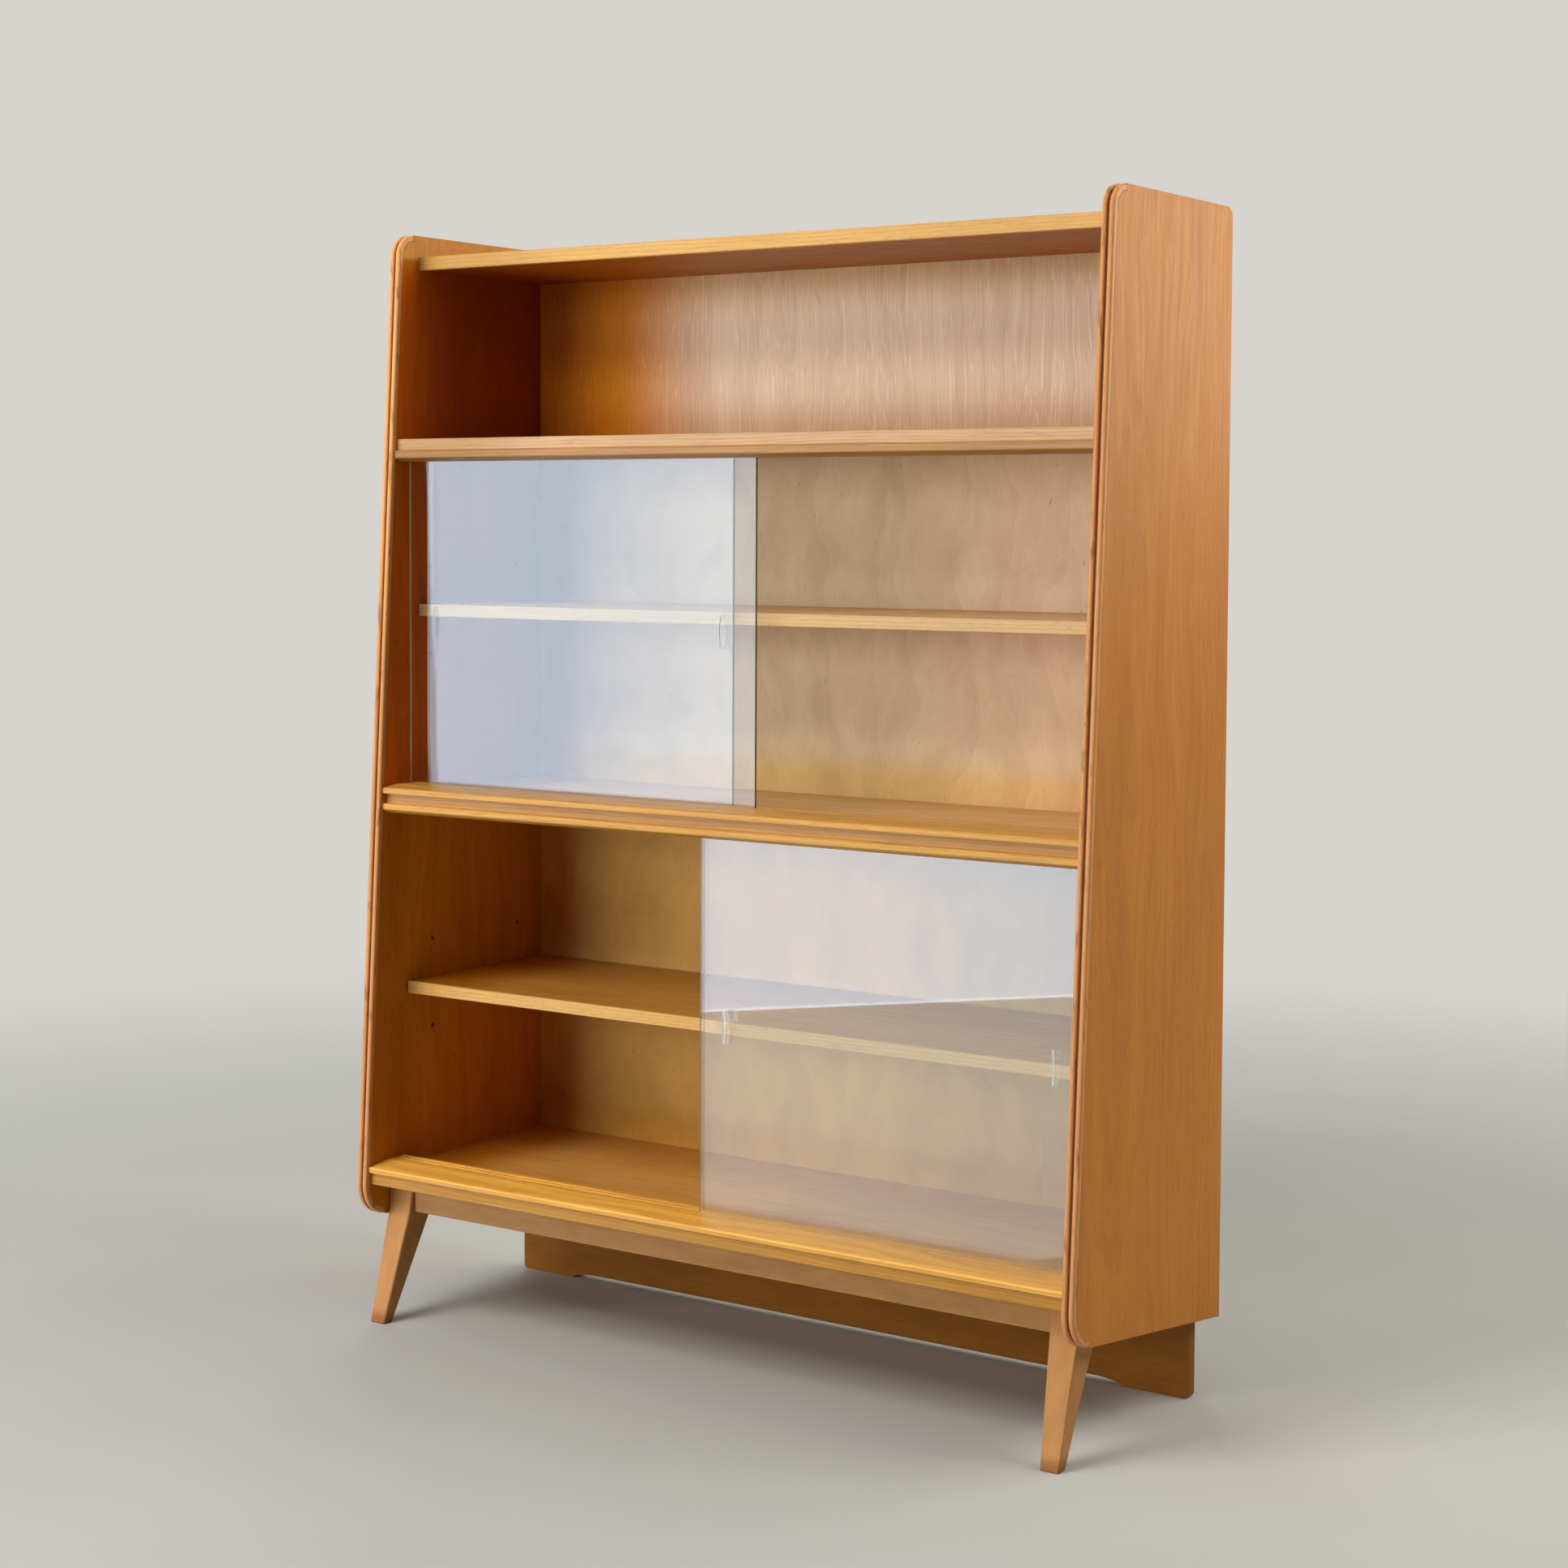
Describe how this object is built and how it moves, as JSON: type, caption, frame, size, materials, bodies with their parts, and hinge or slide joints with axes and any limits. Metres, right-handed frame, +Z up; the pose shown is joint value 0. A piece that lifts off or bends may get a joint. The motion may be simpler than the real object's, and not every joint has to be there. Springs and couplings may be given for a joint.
{
  "type": "bookcase",
  "caption": "Free-standing wooden bookcase with an open bay over two shelved bays with sliding glass panes, on splayed front legs and a rear base board.",
  "frame": {"origin": "middle of the base of the bookcase's box, on the floor", "axes": "+Z up, -Y to the front, +X to the right as seen from the front"},
  "size_m": [1.12, 0.4, 1.511],
  "materials": {
    "side_veneer": "straight-grained veneer under satin lacquer",
    "back_veneer": "streaky pinkish veneer, matt",
    "lipping_wood": "solid pale hardwood under satin lacquer",
    "rail_wood": "solid honey-coloured moulding under gloss lacquer",
    "plywood": "bare plywood, matt",
    "base_wood": "stained hardwood, worn satin lacquer",
    "beech": "plain beech",
    "glass": "clear float glass with ground edges",
    "brass": "turned brass"
  },
  "bodies": {
    "carcass": {"left_side_panel": "side_veneer", "right_side_panel": "side_veneer", "left_side_lipping": "lipping_wood", "right_side_lipping": "lipping_wood", "top_board": "side_veneer", "top_board_lipping": "lipping_wood", "fixed_shelf_board": "side_veneer", "fixed_shelf_rail": "rail_wood", "middle_board": "side_veneer", "middle_rail": "rail_wood", "bottom_board": "side_veneer", "bottom_rail": "rail_wood", "upper_adjustable_shelf": "side_veneer", "upper_adjustable_shelf_lipping": "lipping_wood", "lower_adjustable_shelf": "side_veneer", "lower_adjustable_shelf_lipping": "lipping_wood", "open_bay_back_panel": "back_veneer", "upper_bay_back_panel": "plywood", "lower_bay_back_panel": "plywood", "upper_shelf_pin_left_rear": "brass", "upper_shelf_pin_left_front": "brass", "upper_shelf_pin_right_rear": "brass", "upper_shelf_pin_right_front": "brass", "lower_shelf_pin_left_rear": "brass", "lower_shelf_pin_left_front": "brass", "lower_shelf_pin_right_rear": "brass", "lower_shelf_pin_right_front": "brass", "front_apron": "base_wood", "left_front_leg": "base_wood", "right_front_leg": "base_wood", "rear_base_board": "base_wood", "front_glue_block_left": "beech", "front_glue_block_right": "beech", "rear_glue_block_left": "beech", "rear_glue_block_right": "beech", "top_board_dowel_left_rear": "beech", "top_board_dowel_left_front": "beech", "top_board_dowel_right_rear": "beech", "top_board_dowel_right_front": "beech", "fixed_shelf_dowel_left_rear": "beech", "fixed_shelf_dowel_left_front": "beech", "fixed_shelf_dowel_right_rear": "beech", "fixed_shelf_dowel_right_front": "beech", "middle_board_dowel_left_rear": "beech", "middle_board_dowel_left_front": "beech", "middle_board_dowel_right_rear": "beech", "middle_board_dowel_right_front": "beech", "bottom_board_dowel_left_rear": "beech", "bottom_board_dowel_left_front": "beech", "bottom_board_dowel_right_rear": "beech", "bottom_board_dowel_right_front": "beech"},
    "upper_left_glass": {"upper_left_pane": "glass"},
    "upper_right_glass": {"upper_right_pane": "glass"},
    "lower_left_glass": {"lower_left_pane": "glass"},
    "lower_right_glass": {"lower_right_pane": "glass"}
  },
  "joints": [
    {"name": "upper_left_slide", "type": "slide", "parent": "carcass", "child": "upper_left_glass", "axis": [1, 0, 0], "range_m": [0, 0.533]},
    {"name": "upper_right_slide", "type": "slide", "parent": "carcass", "child": "upper_right_glass", "axis": [1, 0, 0], "range_m": [-0.041, 0.492]},
    {"name": "lower_left_slide", "type": "slide", "parent": "carcass", "child": "lower_left_glass", "axis": [1, 0, 0], "range_m": [-0.527, 0]},
    {"name": "lower_right_slide", "type": "slide", "parent": "carcass", "child": "lower_right_glass", "axis": [1, 0, 0], "range_m": [-0.527, 0]}
  ]
}
